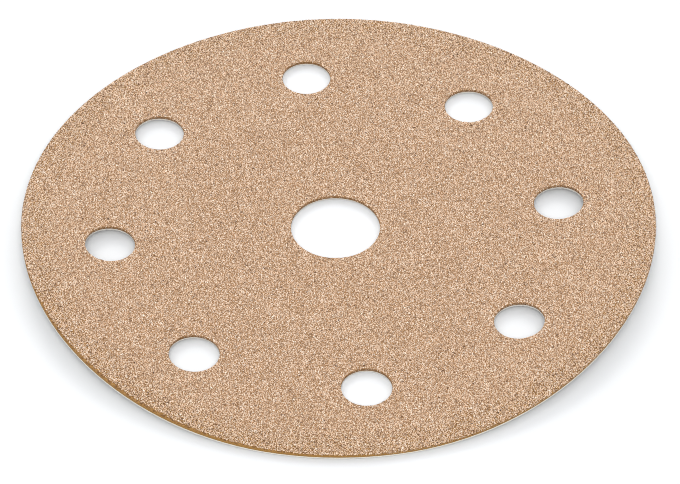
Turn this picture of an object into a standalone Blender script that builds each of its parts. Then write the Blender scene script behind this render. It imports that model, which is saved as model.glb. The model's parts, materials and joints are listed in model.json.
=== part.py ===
"""Hook and loop sanding disc: coated abrasive paper laminated to a brushed loop fabric, punched through
with a centre hole and a ring of dust holes. It lies grit side up, and its left and right sides curl."""

import math

import bmesh
import bpy
from mathutils import Vector

OBJECT_NAME = "hook_and_loop_sanding_disc"

# Punched outline, in metres, seen from the grit side
OUTER_DIAMETER = 0.125
CENTRE_HOLE_DIAMETER = 0.0177
DUST_HOLE_DIAMETER = 0.0099
DUST_HOLE_CIRCLE_DIAMETER = 0.0894
DUST_HOLE_COUNT = 8
FIRST_DUST_HOLE_ANGLE = math.radians(97.7)
HOLE_PATTERN_SHIFT_X = -0.0006
HOLE_PATTERN_SHIFT_Y = -0.0002

# Layers, from the surface that the disc lies on upwards
LOOP_FABRIC_THICKNESS = 0.00055
GLUE_FILM_THICKNESS = 0.00005
ABRASIVE_SHEET_THICKNESS = 0.0005

# Curl: a flat band down the middle, and two sides that lift along a parabola. The lift is stated at
# the far left and far right of the rim, and it leans towards the front of the disc.
FLAT_BAND_WIDTH = 0.025
LEFT_LIFT = 0.0025
RIGHT_LIFT = 0.0030
LIFT_LEAN = 0.7

# Facets
OUTER_SEGMENTS = 144
CENTRE_HOLE_SEGMENTS = 48
DUST_HOLE_SEGMENTS = 32
STRIPS_IN_EACH_SIDE = 8
STRIPS_FRONT_TO_BACK = 14
SHARP_ANGLE = math.radians(30)
MERGE_DISTANCE = GLUE_FILM_THICKNESS / 50

QUARTER_ARC_HANDLE = 4 / 3 * math.tan(math.pi / 8)
ABRASIVE_SHEET_COLOUR = (0.578, 0.392, 0.262, 1)
LOOP_FABRIC_COLOUR = (0.76, 0.74, 0.69, 1)


def remove_existing_objects():
    for existing in list(bpy.data.objects):
        bpy.data.objects.remove(existing, do_unlink=True)


def add_round_loop(curve, centre, diameter, segments):
    """Adds a circle of four quarter arcs to a flat outline."""
    spline = curve.splines.new("BEZIER")
    spline.bezier_points.add(3)
    spline.use_cyclic_u = True
    spline.resolution_u = segments // 4
    for quarter, point in enumerate(spline.bezier_points):
        angle = quarter * math.pi / 2
        outward = Vector((math.cos(angle), math.sin(angle), 0)) * diameter / 2
        along = Vector((-outward.y, outward.x, 0)) * QUARTER_ARC_HANDLE
        point.co = centre + outward
        point.handle_left = point.co - along
        point.handle_right = point.co + along


def punched_outline(name, thickness):
    """The outline that one stroke of the punch cuts: the rim, the centre hole and the dust holes."""
    curve = bpy.data.curves.new(name, "CURVE")
    curve.dimensions = "2D"
    curve.fill_mode = "BOTH"
    curve.extrude = thickness / 2
    add_round_loop(curve, Vector(), OUTER_DIAMETER, OUTER_SEGMENTS)
    pattern_centre = Vector((HOLE_PATTERN_SHIFT_X, HOLE_PATTERN_SHIFT_Y, 0))
    add_round_loop(curve, pattern_centre, CENTRE_HOLE_DIAMETER, CENTRE_HOLE_SEGMENTS)
    for number in range(DUST_HOLE_COUNT):
        angle = FIRST_DUST_HOLE_ANGLE + number * 2 * math.pi / DUST_HOLE_COUNT
        reach = Vector((math.cos(angle), math.sin(angle), 0)) * DUST_HOLE_CIRCLE_DIAMETER / 2
        add_round_loop(curve, pattern_centre + reach, DUST_HOLE_DIAMETER, DUST_HOLE_SEGMENTS)
    return bpy.data.objects.new(name, curve)


def as_mesh(outline):
    """Turns a filled outline into a mesh with its caps welded on, and removes the curve."""
    bpy.context.scene.collection.objects.link(outline)
    evaluated = outline.evaluated_get(bpy.context.evaluated_depsgraph_get())
    mesh = bpy.data.meshes.new_from_object(evaluated)
    name = outline.name
    bpy.data.objects.remove(outline, do_unlink=True)
    mesh.name = name
    return mesh


def lift(x, y):
    """How far the disc has curled up off the surface at a point of its plan."""
    radius = OUTER_DIAMETER / 2
    beyond_band = abs(x) - FLAT_BAND_WIDTH / 2
    if beyond_band <= 0:
        return 0
    side_lift = LEFT_LIFT if x < 0 else RIGHT_LIFT
    share = beyond_band / (radius - FLAT_BAND_WIDTH / 2)
    return side_lift * share**2 * (1 - LIFT_LEAN * y / radius)


def lift_lines():
    """The places from left to right where the strips of the two lifted sides meet."""
    band_edge = FLAT_BAND_WIDTH / 2
    strip = (OUTER_DIAMETER / 2 - band_edge) / STRIPS_IN_EACH_SIDE
    right = [band_edge + number * strip for number in range(STRIPS_IN_EACH_SIDE)]
    return [-x for x in reversed(right)] + right


def lean_lines():
    """The places from front to back where the facets of the leaning lift meet."""
    step = OUTER_DIAMETER / STRIPS_FRONT_TO_BACK
    return [number * step - OUTER_DIAMETER / 2 for number in range(1, STRIPS_FRONT_TO_BACK)]


def divide(shape, point, direction):
    """Cuts every face that crosses a plane in two, and leaves both halves in place."""
    bmesh.ops.bisect_plane(
        shape,
        geom=shape.verts[:] + shape.edges[:] + shape.faces[:],
        dist=MERGE_DISTANCE,
        plane_co=point,
        plane_no=direction,
    )


def curl(mesh):
    """Divides a flat layer into facets along its lift and lean lines and lifts its two sides."""
    shape = bmesh.new()
    shape.from_mesh(mesh)
    bmesh.ops.remove_doubles(shape, verts=shape.verts, dist=MERGE_DISTANCE)
    bmesh.ops.dissolve_limit(shape, angle_limit=math.radians(0.1), verts=shape.verts, edges=shape.edges)
    for x in lift_lines():
        divide(shape, (x, 0, 0), (1, 0, 0))
    for y in lean_lines():
        divide(shape, (0, y, 0), (0, 1, 0))
    bmesh.ops.triangulate(shape, faces=shape.faces)
    for vertex in shape.verts:
        vertex.co.z += lift(vertex.co.x, vertex.co.y)
    shape.to_mesh(mesh)
    shape.free()


def material(name, colour, roughness):
    made = bpy.data.materials.new(name)
    made.use_nodes = True
    shader = made.node_tree.nodes["Principled BSDF"]
    shader.inputs["Base Color"].default_value = colour
    shader.inputs["Roughness"].default_value = roughness
    shader.inputs["Metallic"].default_value = 0
    made.diffuse_color = colour
    return made


def layer(name, bottom, thickness, look, collection, parent):
    """One punched and curled layer of the laminate, with its flat band starting at a height."""
    mesh = as_mesh(punched_outline(name, thickness))
    curl(mesh)
    mesh.materials.clear()
    mesh.materials.append(look)
    mesh.shade_smooth()
    mesh.set_sharp_from_angle(angle=SHARP_ANGLE)
    made = bpy.data.objects.new(name, mesh)
    made.location.z = bottom + thickness / 2
    made.parent = parent
    collection.objects.link(made)


def main():
    remove_existing_objects()
    collection = bpy.data.collections.new(OBJECT_NAME)
    bpy.context.scene.collection.children.link(collection)
    disc = bpy.data.objects.new(OBJECT_NAME, None)
    collection.objects.link(disc)
    layer(
        name="loop_backing",
        bottom=0,
        thickness=LOOP_FABRIC_THICKNESS,
        look=material("brushed_loop_fabric", LOOP_FABRIC_COLOUR, 0.95),
        collection=collection,
        parent=disc,
    )
    layer(
        name="abrasive_sheet",
        bottom=LOOP_FABRIC_THICKNESS + GLUE_FILM_THICKNESS,
        thickness=ABRASIVE_SHEET_THICKNESS,
        look=material("coated_abrasive_paper", ABRASIVE_SHEET_COLOUR, 0.85),
        collection=collection,
        parent=disc,
    )


main()
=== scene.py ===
"""Looks of the hook and loop sanding disc: abrasive grain on a resin coat, its punched edge, and the
knitted, brushed loop fabric beneath it."""

import json
import math

import bmesh
import bpy
import numpy as np
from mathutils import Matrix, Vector
from mathutils.bvhtree import BVHTree


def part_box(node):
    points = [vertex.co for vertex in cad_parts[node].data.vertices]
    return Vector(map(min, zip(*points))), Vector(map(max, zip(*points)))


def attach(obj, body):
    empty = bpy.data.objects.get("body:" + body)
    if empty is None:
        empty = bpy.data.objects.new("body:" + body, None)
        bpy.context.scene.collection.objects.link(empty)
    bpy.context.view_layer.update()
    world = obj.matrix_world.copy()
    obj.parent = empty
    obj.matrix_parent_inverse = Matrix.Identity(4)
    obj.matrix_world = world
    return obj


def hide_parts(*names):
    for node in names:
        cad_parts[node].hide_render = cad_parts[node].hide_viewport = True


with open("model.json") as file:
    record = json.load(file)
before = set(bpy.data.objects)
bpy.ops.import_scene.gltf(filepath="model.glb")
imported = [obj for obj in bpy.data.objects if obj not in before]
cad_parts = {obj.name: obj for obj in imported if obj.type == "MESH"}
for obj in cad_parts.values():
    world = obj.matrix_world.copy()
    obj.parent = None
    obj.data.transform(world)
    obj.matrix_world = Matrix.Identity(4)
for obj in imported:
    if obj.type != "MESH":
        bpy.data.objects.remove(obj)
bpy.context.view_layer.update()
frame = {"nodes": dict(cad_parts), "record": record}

SHEET = frame["nodes"]["abrasive_sheet"]
FABRIC = frame["nodes"]["loop_backing"]
RIM_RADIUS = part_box("abrasive_sheet")[1].x
RANDOM = np.random.default_rng(12)

# Heights well under and well over the disc, from which rays look for its faces
FAR_BELOW = -0.01
FAR_ABOVE = 0.02

# Points beyond this share of the rim's radius are beside the rim, and all others beside a hole
RIM_BAND_START = 0.97

# Camera, fitted to the nine holes and the rim in the photograph
IMAGE_WIDTH = 680
CAMERA_ELEVATION = math.radians(43.77)
CAMERA_DISTANCE = 0.8813
CAMERA_CLIP_END = 10
FOCAL_PIXELS = 4474
LOOK_AT = Vector((0.0003, -0.0045, 0.0011))
SENSOR_WIDTH = 36

# Narrower than Blender's own, because the photograph is crisp
PIXEL_FILTER_WIDTH = 1.0

# Studio, with the place, width and strength of each light
SOFTBOXES = {
    "back_softbox": ((0, 1.1, 0.55), 0.7, 6.5),
    "back_left_softbox": ((-0.7, 0.7, 0.8), 0.5, 1.8),
    "back_right_softbox": ((0.7, 0.7, 0.8), 0.5, 1.7),
    "front_softbox": ((0, -0.9, 0.9), 0.7, 7.7),
    "top_softbox": ((0, 0.45, 1.1), 0.7, 0.8),
}
SOFTBOX_COLOUR = (1, 0.985, 0.965)
WORLD_COLOUR = (0.90, 0.945, 1, 1)
WORLD_STRENGTH = 0.72
FLOOR_SIZE = 4
FLOOR_COLOUR = (0.8, 0.8, 0.8, 1)
FLOOR_ROUGHNESS = 0.9
FLOOR_SPECULAR = 0.1

# Grain coat, of four-sided splinters
GRAIN_PITCH = 0.0003
GRAIN_SHIFT = 0.35
GRAIN_RADIUS = 0.00023
GRAIN_UNEVENNESS = 0.2
GRAIN_SINK = 0.00002
GRAIN_EDGE_MARGIN = 0.00003
WHOLE_GRAIN_MARGIN = 0.00012
GRAIN_CORNERS = np.array([[1, 1, 1], [1, -1, -1], [-1, 1, -1], [-1, -1, 1]]) / math.sqrt(3)
GRAIN_FACES = np.array([[0, 1, 2], [0, 3, 1], [0, 2, 3], [1, 3, 2]])
GRAIN_TONE_SHARE = 0.5
FACE_TONE_SHARE = 0.87

# Grains that the punch cut through, which show their dark insides and are darkened further as painted shade
# along the cut edge, at the holes as painted shade of the wall above them
CUT_GRAIN_PITCH = 0.00011
CUT_GRAIN_RADIUS = 0.00014
CUT_GRAIN_DEPTH = 0.0002
CUT_GRAIN_INSET = 0.00004
HOLE_GRAIN_DROP = 0.00012
# How far the cut grains' tones are lowered, for their cut insides and as painted shade: at the holes it is
# mostly painted shade
RIM_GRAIN_CUT_AND_SHADE = 1.6
HOLE_GRAIN_CUT_AND_SHADE = 1.3

# Ragged strip at the front left of the rim, where the punch knocked the grains off
BARE_RIM_WIDTH = 0.00058
BARE_RIM_WIDTH_RANGE = (0.75, 1.2)
BARE_RIM_DIRECTION = math.radians(230)
BARE_RIM_TAPER = 7

# Ground of the loop fabric
PILE_SHARE = 0.55
MERGE_DISTANCE = 0.000001
LEVEL_NORMAL = 0.7
SHARP_ANGLE = math.radians(40)
RIB_PITCH = 0.0009

# Loops that hang from the ground, of a yarn with a three-sided section
LOOP_PITCH = 0.00086
LOOP_SHIFT = 0.3
LOOP_WIDTH = 0.0013
LOOP_WIDTH_RANGE = (0.75, 1.15)
LOOP_TURN_SPREAD = 0.8
LOOP_MOST_LEAN = 1.0
LOOP_EDGE_MARGIN = 0.00034
LOOP_THREAD_RADIUS = 0.0001
LOOP_SEGMENTS = 3
RING_CORNERS = 3

# Loops along the cut edges
EDGE_LOOP_PITCH = 0.0006
EDGE_LOOP_INSET = 0.00014
EDGE_LOOP_WIDTH = 0.0009
EDGE_LOOP_WIDTH_RANGE = (0.75, 1.25)
EDGE_LOOP_MOST_LEAN = 0.7

# Distances from the middle between which a hole's colours, darkened with painted shade, give way to the
# rim's, and between which painted shade comes onto the yarn at the rim
RIM_COLOURS = (0.055, 0.06)
RIM_YARN_SHADE = (0.0605, 0.0622)

# How fine the textures are, as the number of blobs in a metre
GRAIN_CHIPS = 7000
RESIN_POOLS = 2500
PAPER_FIBRES = 5000
KNIT_FIBRES = 4500
YARN_FUZZ = 5000
YARN_PATCHES = 120

# Spans of values: where most of a noise lies, the tones of the grains, and normals at an edge
NOISE_SPAN = (0.3, 0.7)
TONE_SPAN = (-2.6, 2.2)
UPRIGHT_TO_LEVEL = (0.3, 0.7)

MEAN_ROUGHNESS = 0.7


def hole_circles():
    """Centre and radius of each punched hole, from the record's openings and the sheet's mesh."""
    corners = np.array([v.co[:2] for v in SHEET.data.vertices])
    circles = []
    for opening in frame["record"]["physics"]["openings"]:
        low, high = np.array(opening["box_m"])
        centre = (low + high)[:2] / 2
        circles.append((*centre, np.linalg.norm(corners - centre, axis=1).min()))
    return circles


def edge_distance(x, y):
    """Distance from each point of the plan to the nearest punched edge, negative off the sheet."""
    distance = RIM_RADIUS - np.hypot(x, y)
    for centre_x, centre_y, radius in hole_circles():
        distance = np.minimum(distance, np.hypot(x - centre_x, y - centre_y) - radius)
    return distance


def heights(node, x, y, from_above):
    """Height of a CAD node's upper or lower face at each point of the plan."""
    mesh = node.data
    tree = BVHTree.FromPolygons([v.co for v in mesh.vertices], [p.vertices for p in mesh.polygons])
    start = FAR_ABOVE if from_above else FAR_BELOW
    direction = Vector((0, 0, -1 if from_above else 1))
    return np.array([tree.ray_cast(Vector((a, b, start)), direction)[0].z for a, b in zip(x, y)])


def jittered_places(pitch, shift, margin):
    """Points of a hexagonal grid over the disc, each moved at random by a share of the pitch."""
    row_share = math.sqrt(3) / 2
    rows = int(2 * RIM_RADIUS / (pitch * row_share)) + 1
    columns = int(2 * RIM_RADIUS / pitch) + 1
    row, column = np.meshgrid(np.arange(rows), np.arange(columns), indexing="ij")
    x = (column + row % 2 / 2) * pitch - RIM_RADIUS
    y = row * pitch * row_share - RIM_RADIUS
    x = x.ravel() + RANDOM.uniform(-shift, shift, x.size) * pitch
    y = y.ravel() + RANDOM.uniform(-shift, shift, y.size) * pitch
    kept = edge_distance(x, y) > margin
    return x[kept], y[kept]


def places_along_edges(pitch, inset):
    """Points just inside the rim and around each hole, and each one's direction from the circle's centre."""
    circles = [(0, 0, RIM_RADIUS - inset)] + [(x, y, r + inset) for x, y, r in hole_circles()]
    x, y, direction = [], [], []
    for centre_x, centre_y, radius in circles:
        count = int(2 * math.pi * radius / pitch)
        angle = (np.arange(count) + RANDOM.uniform(0, 1, count)) * 2 * math.pi / count
        x.append(centre_x + radius * np.cos(angle))
        y.append(centre_y + radius * np.sin(angle))
        direction.append(angle)
    return np.concatenate(x), np.concatenate(y), np.concatenate(direction)


def at_rim(x, y):
    """Tells the points beside the rim from those beside a hole."""
    return np.hypot(x, y) > RIM_RADIUS * RIM_BAND_START


def off_bare_rim(x, y):
    """Leaves out the points on the ragged strip where the rim is bare."""
    toward = np.cos(np.arctan2(y, x) - BARE_RIM_DIRECTION).clip(0)
    width = BARE_RIM_WIDTH * RANDOM.uniform(*BARE_RIM_WIDTH_RANGE, x.size) * toward ** BARE_RIM_TAPER
    kept = RIM_RADIUS - np.hypot(x, y) > width
    return x[kept], y[kept]


def random_turns(count):
    """Rotation matrices of evenly spread random turns."""
    q = RANDOM.normal(size=(count, 4))
    q /= np.linalg.norm(q, axis=1)[:, None]
    w, x, y, z = q.T
    rows = [
        [1 - 2 * (y * y + z * z), 2 * (x * y - z * w), 2 * (x * z + y * w)],
        [2 * (x * y + z * w), 1 - 2 * (x * x + z * z), 2 * (y * z - x * w)],
        [2 * (x * z - y * w), 2 * (y * z + x * w), 1 - 2 * (x * x + y * y)],
    ]
    return np.array(rows).transpose(2, 0, 1)


def new_object(name, data):
    """An object of a mesh, light or camera, placed in the scene."""
    made = bpy.data.objects.new(name, data)
    bpy.context.scene.collection.objects.link(made)
    return made


def new_piece(name, points, faces):
    """A mesh object from an array of points and one of faces, which all have as many corners."""
    mesh = bpy.data.meshes.new(name)
    mesh.vertices.add(len(points))
    mesh.vertices.foreach_set("co", points.ravel())
    mesh.loops.add(faces.size)
    mesh.loops.foreach_set("vertex_index", faces.ravel())
    mesh.polygons.add(len(faces))
    mesh.polygons.foreach_set("loop_start", np.arange(len(faces)) * faces.shape[1])
    mesh.polygons.foreach_set("loop_total", np.full(len(faces), faces.shape[1]))
    mesh.update(calc_edges=True)
    mesh.validate()
    return new_object(name, mesh)


def grain_solids(x, y, radius, sink):
    """Crushed grains, each an uneven four-sided splinter turned at random and part sunk in resin."""
    count = len(x)
    least, most = 1 - GRAIN_UNEVENNESS, 1 + GRAIN_UNEVENNESS
    shape = GRAIN_CORNERS * RANDOM.uniform(least, most, (count, 4, 1))
    shape += RANDOM.uniform(-GRAIN_UNEVENNESS, GRAIN_UNEVENNESS, shape.shape)
    shape *= np.asarray(radius)[..., None, None] * RANDOM.uniform(least, most, (count, 1, 1))
    points = np.einsum("nij,nkj->nki", random_turns(count), shape)
    points += np.stack([x, y, heights(SHEET, x, y, True) - sink], 1)[:, None, :]
    faces = GRAIN_FACES + len(GRAIN_CORNERS) * np.arange(count)[:, None, None]
    return points.reshape(-1, 3), faces.reshape(-1, 3)


def store_tones(piece, cut_and_shade_darkening=0):
    """A random tone for each grain and each of its faces, less a darkening that is partly painted shade, and
    how warm each face is.
    """
    count = len(piece.data.polygons)
    sides = len(GRAIN_FACES)
    grain_tone = np.repeat(RANDOM.normal(size=count // sides), sides) * GRAIN_TONE_SHARE
    tone = grain_tone + RANDOM.normal(size=count) * FACE_TONE_SHARE
    for name, values in (("tone", tone - cut_and_shade_darkening), ("warmth", RANDOM.random(count))):
        piece.data.attributes.new(name, "FLOAT", "FACE").data.foreach_set("value", values)


def store_plan_map(piece, points):
    """A flat map from above, for the textures of the exported model."""
    corner = np.empty(len(piece.data.loops), np.int32)
    piece.data.loops.foreach_get("vertex_index", corner)
    low = points[:, :2].min(0)
    places = (points[corner, :2] - low) / (points[:, :2].max(0) - low).max()
    piece.data.uv_layers.new(name="OFBake").data.foreach_set("uv", places.ravel())


def ground_fabric():
    """The loop backing's own form with its underside raised, to leave room for the loops."""
    solid = bmesh.new()
    solid.from_mesh(FABRIC.data)
    bmesh.ops.remove_doubles(solid, verts=solid.verts, dist=MERGE_DISTANCE)
    upper = {corner for face in solid.faces if face.normal.z > LEVEL_NORMAL for corner in face.verts}
    lower = {corner for face in solid.faces if face.normal.z < -LEVEL_NORMAL for corner in face.verts}
    thickness = min(corner.co.z for corner in upper) - min(corner.co.z for corner in lower)
    for corner in lower:
        corner.co.z += PILE_SHARE * thickness
    mesh = bpy.data.meshes.new("knitted_ground")
    solid.to_mesh(mesh)
    solid.free()
    mesh.shade_smooth()
    mesh.set_sharp_from_angle(angle=SHARP_ANGLE)
    return new_object("knitted_ground", mesh)


def field_loops(depth):
    """Places of loops all over the fabric, which lie every way but never reach past its edges."""
    x, y = jittered_places(LOOP_PITCH, LOOP_SHIFT, LOOP_EDGE_MARGIN)
    turn = math.pi / 2 + RANDOM.normal(size=x.size) * LOOP_TURN_SPREAD
    room = edge_distance(x, y) - LOOP_THREAD_RADIUS
    lean = RANDOM.uniform(-1, 1, x.size) * np.minimum(LOOP_MOST_LEAN, np.arctan(room / depth))
    width = np.minimum(LOOP_WIDTH * RANDOM.uniform(*LOOP_WIDTH_RANGE, x.size), 2 * room)
    return x, y, turn, lean, width


def edge_loops():
    """Places of loops along each cut edge, which lie along it and lean away from it."""
    x, y, direction = places_along_edges(EDGE_LOOP_PITCH, EDGE_LOOP_INSET)
    lean = RANDOM.uniform(0, EDGE_LOOP_MOST_LEAN, x.size) * np.where(at_rim(x, y), 1, -1)
    width = EDGE_LOOP_WIDTH * RANDOM.uniform(*EDGE_LOOP_WIDTH_RANGE, x.size)
    return x, y, direction + math.pi / 2, lean, width


def thread_faces(rings):
    """Faces of one thread: a cap on each end, and two triangles for each side between two rings."""
    last = RING_CORNERS * (rings - 1)
    faces = [[0, 1, 2], [last, last + 2, last + 1]]
    for number in range(rings - 1):
        for corner in range(RING_CORNERS):
            a = RING_CORNERS * number + corner
            b = RING_CORNERS * number + (corner + 1) % RING_CORNERS
            faces += [[a, b + RING_CORNERS, b], [a, a + RING_CORNERS, b + RING_CORNERS]]
    return np.array(faces)


def loop_solids(x, y, turn, lean, width, depth):
    """Small arches of yarn that hang from the ground fabric down to the underside's own height."""
    count, rings = len(x), LOOP_SEGMENTS + 1
    along = np.stack([np.cos(turn), np.sin(turn), np.zeros(count)], 1)
    across = np.stack([-np.sin(turn), np.cos(turn), np.zeros(count)], 1)
    down = np.stack([across[:, 0] * np.sin(lean), across[:, 1] * np.sin(lean), -np.cos(lean)], 1)
    side = np.cross(down, along)
    arc = np.linspace(0, math.pi, rings)[None, :, None]
    reach = (depth - LOOP_THREAD_RADIUS) / np.cos(lean)
    middle = (
        -np.cos(arc) * (width / 2)[:, None, None] * along[:, None, :]
        + np.sin(arc) * reach[:, None, None] * down[:, None, :]
    )
    outward = -np.cos(arc) * along[:, None, :] + np.sin(arc) * down[:, None, :]
    around = (np.arange(RING_CORNERS) * 2 * math.pi / RING_CORNERS)[None, None, :, None]
    ring = np.cos(around) * outward[:, :, None, :] + np.sin(around) * side[:, None, None, :]
    points = middle[:, :, None, :] + ring * LOOP_THREAD_RADIUS
    top = heights(FABRIC, x, y, False) + depth
    points += np.stack([x, y, top], 1)[:, None, None, :]
    faces = thread_faces(rings) + RING_CORNERS * rings * np.arange(count)[:, None, None]
    return points.reshape(-1, 3), faces.reshape(-1, 3)


def add_loop_fabric():
    """The ground and its loops, in place of the plain loop backing."""
    ground = ground_fabric()
    ground.data.materials.clear()
    ground.data.materials.append(ground_look())
    depth = PILE_SHARE * (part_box("abrasive_sheet")[0].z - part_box("loop_backing")[0].z)
    field = field_loops(depth)
    left = field[0] <= 0
    groups = {
        "loop_pile_1": [values[left] for values in field],
        "loop_pile_2": [values[~left] for values in field],
        "loop_pile_edge": edge_loops(),
    }
    look = pile_look()
    pieces = [ground]
    for name, places in groups.items():
        points, faces = loop_solids(*places, depth)
        pile = new_piece(name, points, faces)
        store_plan_map(pile, points)
        pile.data.shade_smooth()
        pile.data.materials.append(look)
        pieces.append(pile)
    for piece in pieces:
        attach(piece, "root")
        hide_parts("loop_backing")


class Look:
    """A material with one Principled shader, and short ways to wire textures into it.

    The mean colour is what viewers show that can't read its textures."""

    def __init__(self, name, mean_colour):
        self.material = bpy.data.materials.new(name)
        self.material.diffuse_color = (*mean_colour, 1)
        self.material.use_nodes = True
        self.nodes = self.material.node_tree.nodes
        self.links = self.material.node_tree.links
        self.shader = self.nodes["Principled BSDF"]
        self.shader.inputs["Base Color"].default_value = (*mean_colour, 1)
        self.shader.inputs["Roughness"].default_value = MEAN_ROUGHNESS
        self.place = self.nodes.new("ShaderNodeTexCoord").outputs["Object"]

    def fill(self, socket, value):
        """Wires another node's output into a socket, or sets it to a value."""
        if isinstance(value, bpy.types.NodeSocket):
            self.links.new(value, socket)
        else:
            socket.default_value = value

    def shade(self, **values):
        """Fills the shader's sockets, each named with _ for a space."""
        for name, value in values.items():
            self.fill(self.shader.inputs[name.replace("_", " ")], value)

    def attribute(self, name):
        """A number that the mesh stores for each face."""
        node = self.nodes.new("ShaderNodeAttribute")
        node.attribute_name = name
        return node.outputs["Fac"]

    def noise(self, scale, detail=2.0, stretch=(1, 1, 1)):
        """Noise with about scale blobs in a metre, longer along an axis with a stretch under 1."""
        mapping = self.nodes.new("ShaderNodeMapping")
        mapping.inputs["Scale"].default_value = stretch
        self.fill(mapping.inputs["Vector"], self.place)
        node = self.nodes.new("ShaderNodeTexNoise")
        node.inputs["Scale"].default_value = scale
        node.inputs["Detail"].default_value = detail
        self.fill(node.inputs["Vector"], mapping.outputs["Vector"])
        return node.outputs["Fac"]

    def ribs(self, pitch, distortion):
        """Bands that run from front to back, one in each pitch. At scale 1 they lie pi / 10 apart."""
        node = self.nodes.new("ShaderNodeTexWave")
        node.bands_direction = "X"
        node.inputs["Scale"].default_value = math.pi / 10 / pitch
        node.inputs["Distortion"].default_value = distortion
        node.inputs["Detail"].default_value = 2
        node.inputs["Detail Scale"].default_value = 2
        self.fill(node.inputs["Vector"], self.place)
        return node.outputs["Fac"]

    def spread(self, value, low, high, to_low=0.0, to_high=1.0):
        """Moves a value from one span to another, and holds it at the ends."""
        node = self.nodes.new("ShaderNodeMapRange")
        self.fill(node.inputs["Value"], value)
        for name, number in zip(("From Min", "From Max", "To Min", "To Max"), (low, high, to_low, to_high)):
            node.inputs[name].default_value = number
        return node.outputs["Result"]

    def level(self):
        """1 on level faces, 0 on the upright ones of a cut edge."""
        split = self.nodes.new("ShaderNodeSeparateXYZ")
        self.fill(split.inputs["Vector"], self.nodes.new("ShaderNodeNewGeometry").outputs["Normal"])
        size = self.nodes.new("ShaderNodeMath")
        size.operation = "ABSOLUTE"
        self.fill(size.inputs[0], split.outputs["Z"])
        return self.spread(size.outputs["Value"], *UPRIGHT_TO_LEVEL)

    def outer(self, start, end):
        """0 up to one distance from the disc's middle, and 1 from another on."""
        length = self.nodes.new("ShaderNodeVectorMath")
        length.operation = "LENGTH"
        self.fill(length.inputs[0], self.place)
        return self.spread(length.outputs["Value"], start, end)

    def ramp(self, value, *stops):
        """Colours that follow a value, given as position and colour in turn."""
        node = self.nodes.new("ShaderNodeValToRGB")
        elements = node.color_ramp.elements
        elements.remove(elements[1])
        for number, (position, colour) in enumerate(stops):
            element = elements[0] if number == 0 else elements.new(position)
            element.position, element.color = position, (*colour, 1)
        self.fill(node.inputs["Fac"], value)
        return node.outputs["Color"]

    def speckle(self, noise, first, second):
        """A noise's low values in one colour, and its high values in another."""
        return self.ramp(noise, (0.35, first), (0.65, second))

    def mix(self, share, first, second, blend="MIX"):
        """The first colour with a share of the second."""
        node = self.nodes.new("ShaderNodeMix")
        node.data_type = "RGBA"
        node.blend_type = blend
        self.fill(node.inputs["Factor"], share)
        self.fill(node.inputs["A"], first)
        self.fill(node.inputs["B"], second)
        return node.outputs["Result"]

    def bump(self, value, strength, depth):
        """Normals of a surface that rises and falls with a value, by a depth in metres."""
        node = self.nodes.new("ShaderNodeBump")
        node.inputs["Strength"].default_value = strength
        node.inputs["Distance"].default_value = depth
        self.fill(node.inputs["Height"], value)
        return node.outputs["Normal"]


def grain_look():
    """Crushed mineral in tans and creams, mostly dull, with some glossier faces."""
    look = Look("abrasive_grain", (0.75, 0.54, 0.38))
    tone = look.spread(look.attribute("tone"), *TONE_SPAN)
    dark, middle, light = (0.1, 0.045, 0.02), (0.84, 0.593, 0.41), (1.0, 0.885, 0.755)
    mineral = look.ramp(tone, (0, dark), (0.54, middle), (1, light))
    warmth = look.spread(look.attribute("warmth"), 0, 1, to_low=0, to_high=0.22)
    mineral = look.mix(warmth, mineral, (1.0, 0.84, 0.66, 1), "MULTIPLY")
    chips = look.noise(GRAIN_CHIPS)
    look.shade(
        Base_Color=mineral,
        Roughness=look.spread(chips, *NOISE_SPAN, to_low=0.3, to_high=0.65),
        Normal=look.bump(chips, strength=0.35, depth=0.00003),
    )
    return look.material


def resin_look():
    """Amber resin between the grains, and the ochre, fibrous edge where the punch cut the paper, darkened
    round the holes with painted shade.
    """
    look = Look("resin_and_cut_paper", (0.31, 0.16, 0.06))
    pools = look.noise(RESIN_POOLS)
    between = look.speckle(pools, (0.235, 0.117, 0.044), (0.375, 0.201, 0.083))
    bare = look.speckle(pools, (0.13, 0.052, 0.009), (0.36, 0.185, 0.048))
    fibres = look.noise(PAPER_FIBRES, detail=3.0, stretch=(1, 1, 4))
    rim = look.speckle(fibres, (0.20, 0.095, 0.018), (0.43, 0.23, 0.062))
    # Paper walls of the holes: the paper's colour darkened with painted shade, for the shade that lies on a
    # hole's far wall
    hole = look.speckle(fibres, (0.15, 0.065, 0.018), (0.28, 0.14, 0.045))
    outer = look.outer(*RIM_COLOURS)
    paper = look.mix(outer, hole, rim)
    resin = look.mix(outer, between, bare)
    look.shade(
        Base_Color=look.mix(look.level(), paper, resin),
        Roughness=look.spread(fibres, *NOISE_SPAN, to_low=0.45, to_high=0.75),
        Specular_IOR_Level=0.2,
        Normal=look.bump(fibres, strength=0.4, depth=0.00004),
    )
    return look.material


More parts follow.
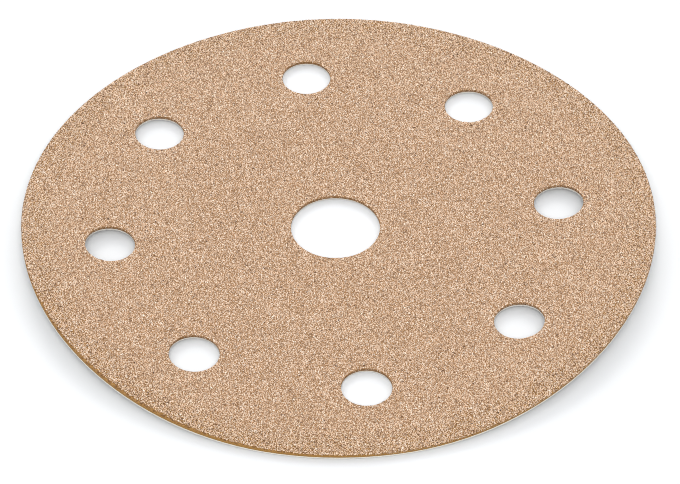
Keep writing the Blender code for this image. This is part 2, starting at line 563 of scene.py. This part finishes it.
def ground_look():
    """Off-white knitted ground with fine ribs and painted shade in the gaps of the knit, and cut edges
    darkened with painted shade, more at the holes than at the rim.
    """
    look = Look("knitted_ground", (0.76, 0.74, 0.69))
    ribs = look.ribs(RIB_PITCH, distortion=2.5)
    wales = look.noise(KNIT_FIBRES, detail=3.0, stretch=(1, 0.2, 1))
    courses = look.noise(KNIT_FIBRES, detail=3.0, stretch=(0.2, 1, 1))
    fibres = look.mix(1, wales, courses, "LIGHTEN")
    yarn = look.ramp(ribs, (0.1, (0.74, 0.72, 0.67)), (0.9, (0.87, 0.855, 0.81)))
    # Painted shade in the gaps between the knit's yarns
    knit_gap_shade = look.spread(fibres, 0.4, 0.65, to_low=0.6, to_high=0)
    yarn = look.mix(knit_gap_shade, yarn, (0.62, 0.60, 0.55, 1))
    # Cut walls of the ground: the yarn's colour darkened with painted shade, deeper at the holes than at the
    # rim
    hole = look.speckle(fibres, (0.50, 0.46, 0.40), (0.68, 0.64, 0.58))
    rim = look.speckle(fibres, (0.62, 0.57, 0.48), (0.80, 0.76, 0.67))
    cut = look.mix(look.outer(*RIM_COLOURS), hole, rim)
    look.shade(
        Base_Color=look.mix(look.level(), cut, yarn),
        Roughness=look.spread(fibres, *NOISE_SPAN, to_low=0.85, to_high=1),
        Sheen_Weight=0.3,
        Normal=look.bump(look.mix(0.7, ribs, fibres), strength=0.8, depth=0.00012),
    )
    return look.material


def pile_look():
    """White napped yarn, uneven along and between its loops, with painted shade on the loops nearest the
    rim.
    """
    look = Look("loop_yarn", (0.87, 0.85, 0.81))
    fuzz = look.noise(YARN_FUZZ, detail=3.0)
    yarn = look.ramp(fuzz, (0.3, (0.82, 0.80, 0.75)), (0.7, (0.93, 0.92, 0.89)))
    patches = look.spread(look.noise(YARN_PATCHES), *NOISE_SPAN, to_low=0, to_high=0.35)
    yarn = look.mix(patches, yarn, (0.82, 0.80, 0.76, 1))
    # Painted shade on the loops nearest the rim
    look.shade(
        Base_Color=look.mix(look.outer(*RIM_YARN_SHADE), yarn, (0.70, 0.68, 0.63, 1)),
        Roughness=0.9,
        Sheen_Weight=0.4,
        Normal=look.bump(fuzz, strength=0.5, depth=0.00004),
    )
    return look.material


def add_grain_piece(name, points, faces, look, cut_and_shade_darkening=0):
    """One piece of the abrasive sheet, made of many grains."""
    piece = new_piece(name, points, faces)
    store_tones(piece, cut_and_shade_darkening)
    store_plan_map(piece, points)
    piece.data.materials.append(look)
    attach(piece, "root")


def add_grains():
    """The grain coat in four quarters of the disc, and the cut grains, on a sheet with a resin look."""
    SHEET.data.materials.clear()
    SHEET.data.materials.append(resin_look())
    look = grain_look()
    x, y = off_bare_rim(*jittered_places(GRAIN_PITCH, GRAIN_SHIFT, GRAIN_EDGE_MARGIN))
    whole = np.minimum(1, (edge_distance(x, y) + GRAIN_EDGE_MARGIN) / WHOLE_GRAIN_MARGIN)
    for number in range(4):
        quarter = ((x > 0) == (number % 2 == 1)) & ((y > 0) == (number > 1))
        solids = grain_solids(x[quarter], y[quarter], GRAIN_RADIUS * whole[quarter], GRAIN_SINK)
        add_grain_piece(f"grain_coat_{number + 1}", *solids, look)
    x, y = off_bare_rim(*places_along_edges(CUT_GRAIN_PITCH, CUT_GRAIN_INSET)[:2])
    sink = RANDOM.uniform(0, CUT_GRAIN_DEPTH, len(x)) + np.where(at_rim(x, y), 0, HOLE_GRAIN_DROP)
    # Cut grains darkened for their insides and with painted shade along the edge, at the holes mostly
    # painted shade
    cut_and_shade_darkening = np.repeat(np.where(at_rim(x, y), RIM_GRAIN_CUT_AND_SHADE, HOLE_GRAIN_CUT_AND_SHADE), len(GRAIN_FACES))
    add_grain_piece("cut_grain_edge", *grain_solids(x, y, CUT_GRAIN_RADIUS, sink), look, cut_and_shade_darkening)


def add_camera():
    """The photograph's camera, which looks down on the disc from the front."""
    data = bpy.data.cameras.new("camera")
    data.sensor_width = SENSOR_WIDTH
    data.lens = FOCAL_PIXELS / IMAGE_WIDTH * SENSOR_WIDTH
    data.clip_end = CAMERA_CLIP_END
    camera = new_object("camera", data)
    back = Vector((0, -math.cos(CAMERA_ELEVATION), math.sin(CAMERA_ELEVATION)))
    camera.location = LOOK_AT + back * CAMERA_DISTANCE
    camera.rotation_euler = (math.pi / 2 - CAMERA_ELEVATION, 0, 0)
    bpy.context.scene.camera = camera


def add_floor():
    """A plain white floor under the disc."""
    bpy.ops.mesh.primitive_grid_add(size=FLOOR_SIZE, x_subdivisions=2, y_subdivisions=2)
    floor = bpy.context.object
    floor.name = "floor"
    look = bpy.data.materials.new("white_floor")
    look.use_nodes = True
    shader = look.node_tree.nodes["Principled BSDF"]
    shader.inputs["Base Color"].default_value = FLOOR_COLOUR
    shader.inputs["Roughness"].default_value = FLOOR_ROUGHNESS
    shader.inputs["Specular IOR Level"].default_value = FLOOR_SPECULAR
    floor.data.materials.append(look)


def add_softbox(name, location, size, power):
    """A round, soft light that faces the disc."""
    data = bpy.data.lights.new(name, "AREA")
    data.shape = "DISK"
    data.size = size
    data.energy = power
    data.color = SOFTBOX_COLOUR
    light = new_object(name, data)
    light.location = location
    light.rotation_euler = (-light.location).to_track_quat("-Z", "Y").to_euler()


def add_world():
    """Even, slightly cool light from all around."""
    world = bpy.data.worlds.new("studio")
    world.use_nodes = True
    background = world.node_tree.nodes["Background"]
    background.inputs["Color"].default_value = WORLD_COLOUR
    background.inputs["Strength"].default_value = WORLD_STRENGTH
    bpy.context.scene.world = world


bpy.context.scene.view_settings.view_transform = "Standard"
bpy.context.scene.cycles.denoising_prefilter = "NONE"
bpy.context.scene.cycles.filter_width = PIXEL_FILTER_WIDTH
add_camera()
add_floor()
for softbox, settings in SOFTBOXES.items():
    add_softbox(softbox, *settings)
add_world()
add_grains()
add_loop_fabric()
